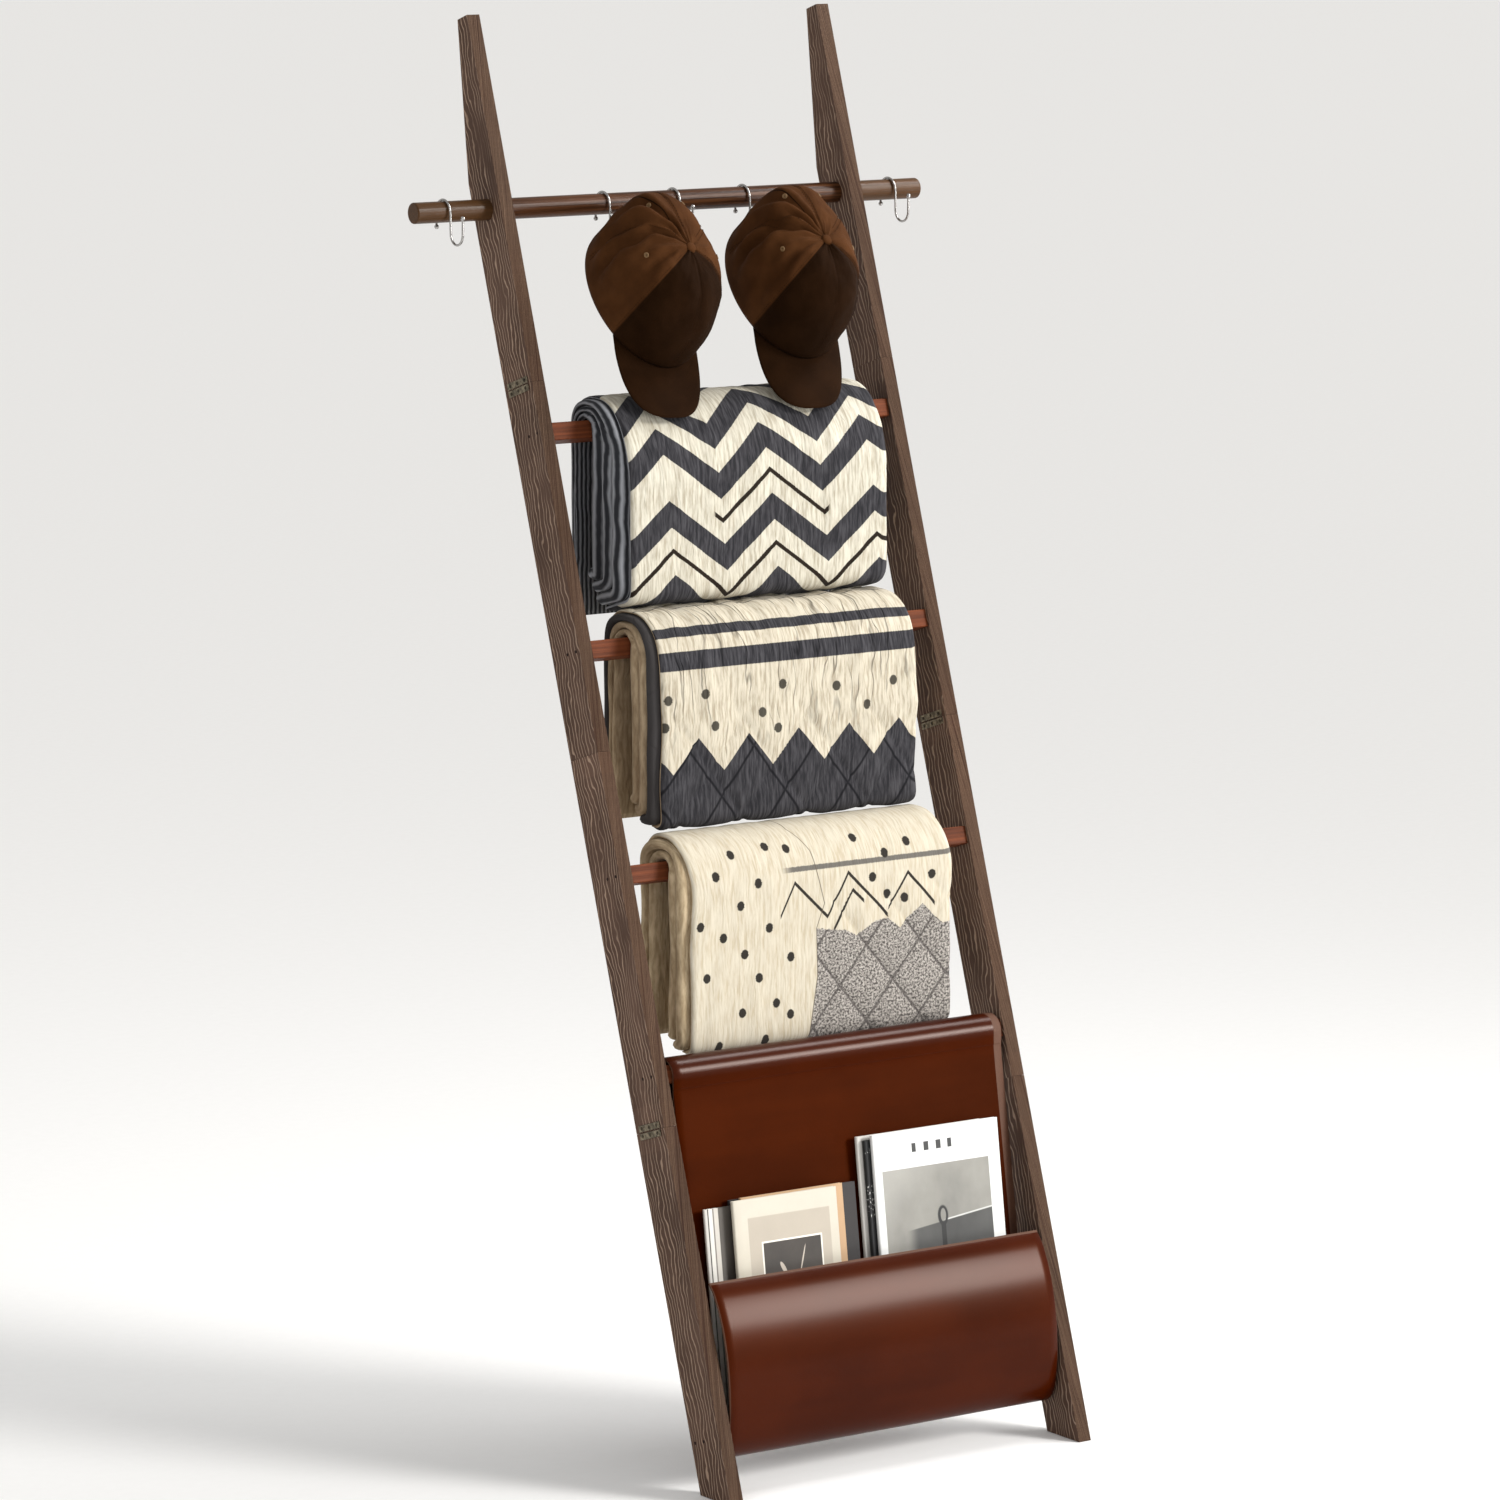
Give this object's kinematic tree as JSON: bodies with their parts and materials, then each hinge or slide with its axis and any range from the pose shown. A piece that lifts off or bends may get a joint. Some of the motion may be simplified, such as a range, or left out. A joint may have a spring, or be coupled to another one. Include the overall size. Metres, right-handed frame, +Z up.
{
  "type": "quilt rack",
  "caption": "Leaning wooden ladder rack in plug-together lengths, with folded quilts over its rungs, caps on hooks along a hanging rod and magazines in a leather sling.",
  "frame": {"origin": "on the floor under the middle of the whole rack", "axes": "+Z up, +X to the right along the rungs as seen from the front, the rack faces -Y and leans towards the wall at +Y"},
  "size_m": [0.75, 0.5868, 1.7404],
  "materials": {
    "rail_wood": "dark grey-brown open-grain wood, satin",
    "rung_wood": "reddish-brown wood, satin",
    "rod_wood": "dark polished wood",
    "dowel_wood": "plain beech dowel",
    "leaf_brass": "aged brass plate",
    "steel": "plain steel wire",
    "cap_cotton": "dark brown cotton twill",
    "quilt_1_cotton": "crinkled cotton, cream and charcoal zigzags",
    "quilt_2_cotton": "crinkled cotton, cream with dots, charcoal bands and peaks",
    "quilt_3_cotton": "crinkled cotton, cream with dots, grey peaks",
    "leather": "saddle-brown smooth leather, soft sheen",
    "cover_cream": "cream paper cover",
    "cover_grey": "grey-white paper cover",
    "cover_tan": "tan board cover",
    "cover_black": "black board cover",
    "cover_white": "white paper cover",
    "cover_plain": "off-white paper cover"
  },
  "bodies": {
    "rack": {"rail_left_1": "rail_wood", "rail_left_2": "rail_wood", "rail_left_3": "rail_wood", "rail_left_4": "rail_wood", "rail_right_1": "rail_wood", "rail_right_2": "rail_wood", "rail_right_3": "rail_wood", "rail_right_4": "rail_wood", "dowel_left_1": "dowel_wood", "dowel_left_2": "dowel_wood", "dowel_left_3": "dowel_wood", "dowel_right_1": "dowel_wood", "dowel_right_2": "dowel_wood", "dowel_right_3": "dowel_wood", "leaf_left_1_low": "leaf_brass", "leaf_left_1_high": "leaf_brass", "leaf_left_2_low": "leaf_brass", "leaf_left_2_high": "leaf_brass", "leaf_left_3_low": "leaf_brass", "leaf_left_3_high": "leaf_brass", "leaf_right_1_low": "leaf_brass", "leaf_right_1_high": "leaf_brass", "leaf_right_2_low": "leaf_brass", "leaf_right_2_high": "leaf_brass", "leaf_right_3_low": "leaf_brass", "leaf_right_3_high": "leaf_brass", "hanging_rod": "rod_wood", "rung_1": "rung_wood", "rung_2": "rung_wood", "rung_3": "rung_wood", "rung_4": "rung_wood", "rung_5": "rung_wood", "quilt_1": "quilt_1_cotton", "quilt_2": "quilt_2_cotton", "quilt_3": "quilt_3_cotton", "leather_sling": "leather"},
    "hook_1_swing": {"hook_1": "steel"},
    "hook_2_swing": {"hook_2": "steel"},
    "hook_3_swing": {"hook_3": "steel"},
    "hook_4_swing": {"hook_4": "steel"},
    "hook_5_swing": {"hook_5": "steel"},
    "cap_left": {"cap_left_crown": "cap_cotton", "cap_left_brim": "cap_cotton", "cap_left_strap": "cap_cotton", "cap_left_button": "cap_cotton"},
    "cap_right": {"cap_right_crown": "cap_cotton", "cap_right_brim": "cap_cotton", "cap_right_strap": "cap_cotton", "cap_right_button": "cap_cotton"},
    "magazines_left": {"magazine_cream": "cover_cream", "book_tan": "cover_tan", "magazine_grey": "cover_grey", "book_black": "cover_black"},
    "magazines_right": {"magazine_white": "cover_white", "book_dark_spine": "cover_black", "magazine_plain": "cover_plain"}
  },
  "joints": [
    {"name": "hook_1_on_rod", "type": "hinge", "parent": "rack", "child": "hook_1_swing", "pos_m": [-0.332, 0.22873, 1.5064], "axis": [1, 0, 0], "range_deg": [-60, 55]},
    {"name": "hook_2_on_rod", "type": "hinge", "parent": "rack", "child": "hook_2_swing", "pos_m": [-0.101, 0.22873, 1.5064], "axis": [1, 0, 0], "range_deg": [-30, 0]},
    {"name": "hook_3_on_rod", "type": "hinge", "parent": "rack", "child": "hook_3_swing", "pos_m": [0.003, 0.22873, 1.5064], "axis": [1, 0, 0], "range_deg": [-60, 55]},
    {"name": "hook_4_on_rod", "type": "hinge", "parent": "rack", "child": "hook_4_swing", "pos_m": [0.108, 0.22873, 1.5064], "axis": [1, 0, 0], "range_deg": [-30, 0]},
    {"name": "hook_5_on_rod", "type": "hinge", "parent": "rack", "child": "hook_5_swing", "pos_m": [0.332, 0.22873, 1.5064], "axis": [1, 0, 0], "range_deg": [-60, 55]},
    {"name": "cap_left_on_hook", "type": "hinge", "parent": "hook_2_swing", "child": "cap_left", "pos_m": [-0.101, 0.1982, 1.4814], "axis": [1, 0, 0], "range_deg": [-35, 0]},
    {"name": "cap_right_on_hook", "type": "hinge", "parent": "hook_4_swing", "child": "cap_right", "pos_m": [0.108, 0.1982, 1.4814], "axis": [1, 0, 0], "range_deg": [-35, 0]},
    {"name": "magazines_left_lift", "type": "slide", "parent": "rack", "child": "magazines_left", "axis": [0, 0.1392, 0.9903], "range_m": [0, 0.25]},
    {"name": "magazines_right_lift", "type": "slide", "parent": "rack", "child": "magazines_right", "axis": [0, 0.1392, 0.9903], "range_m": [0, 0.25]}
  ]
}
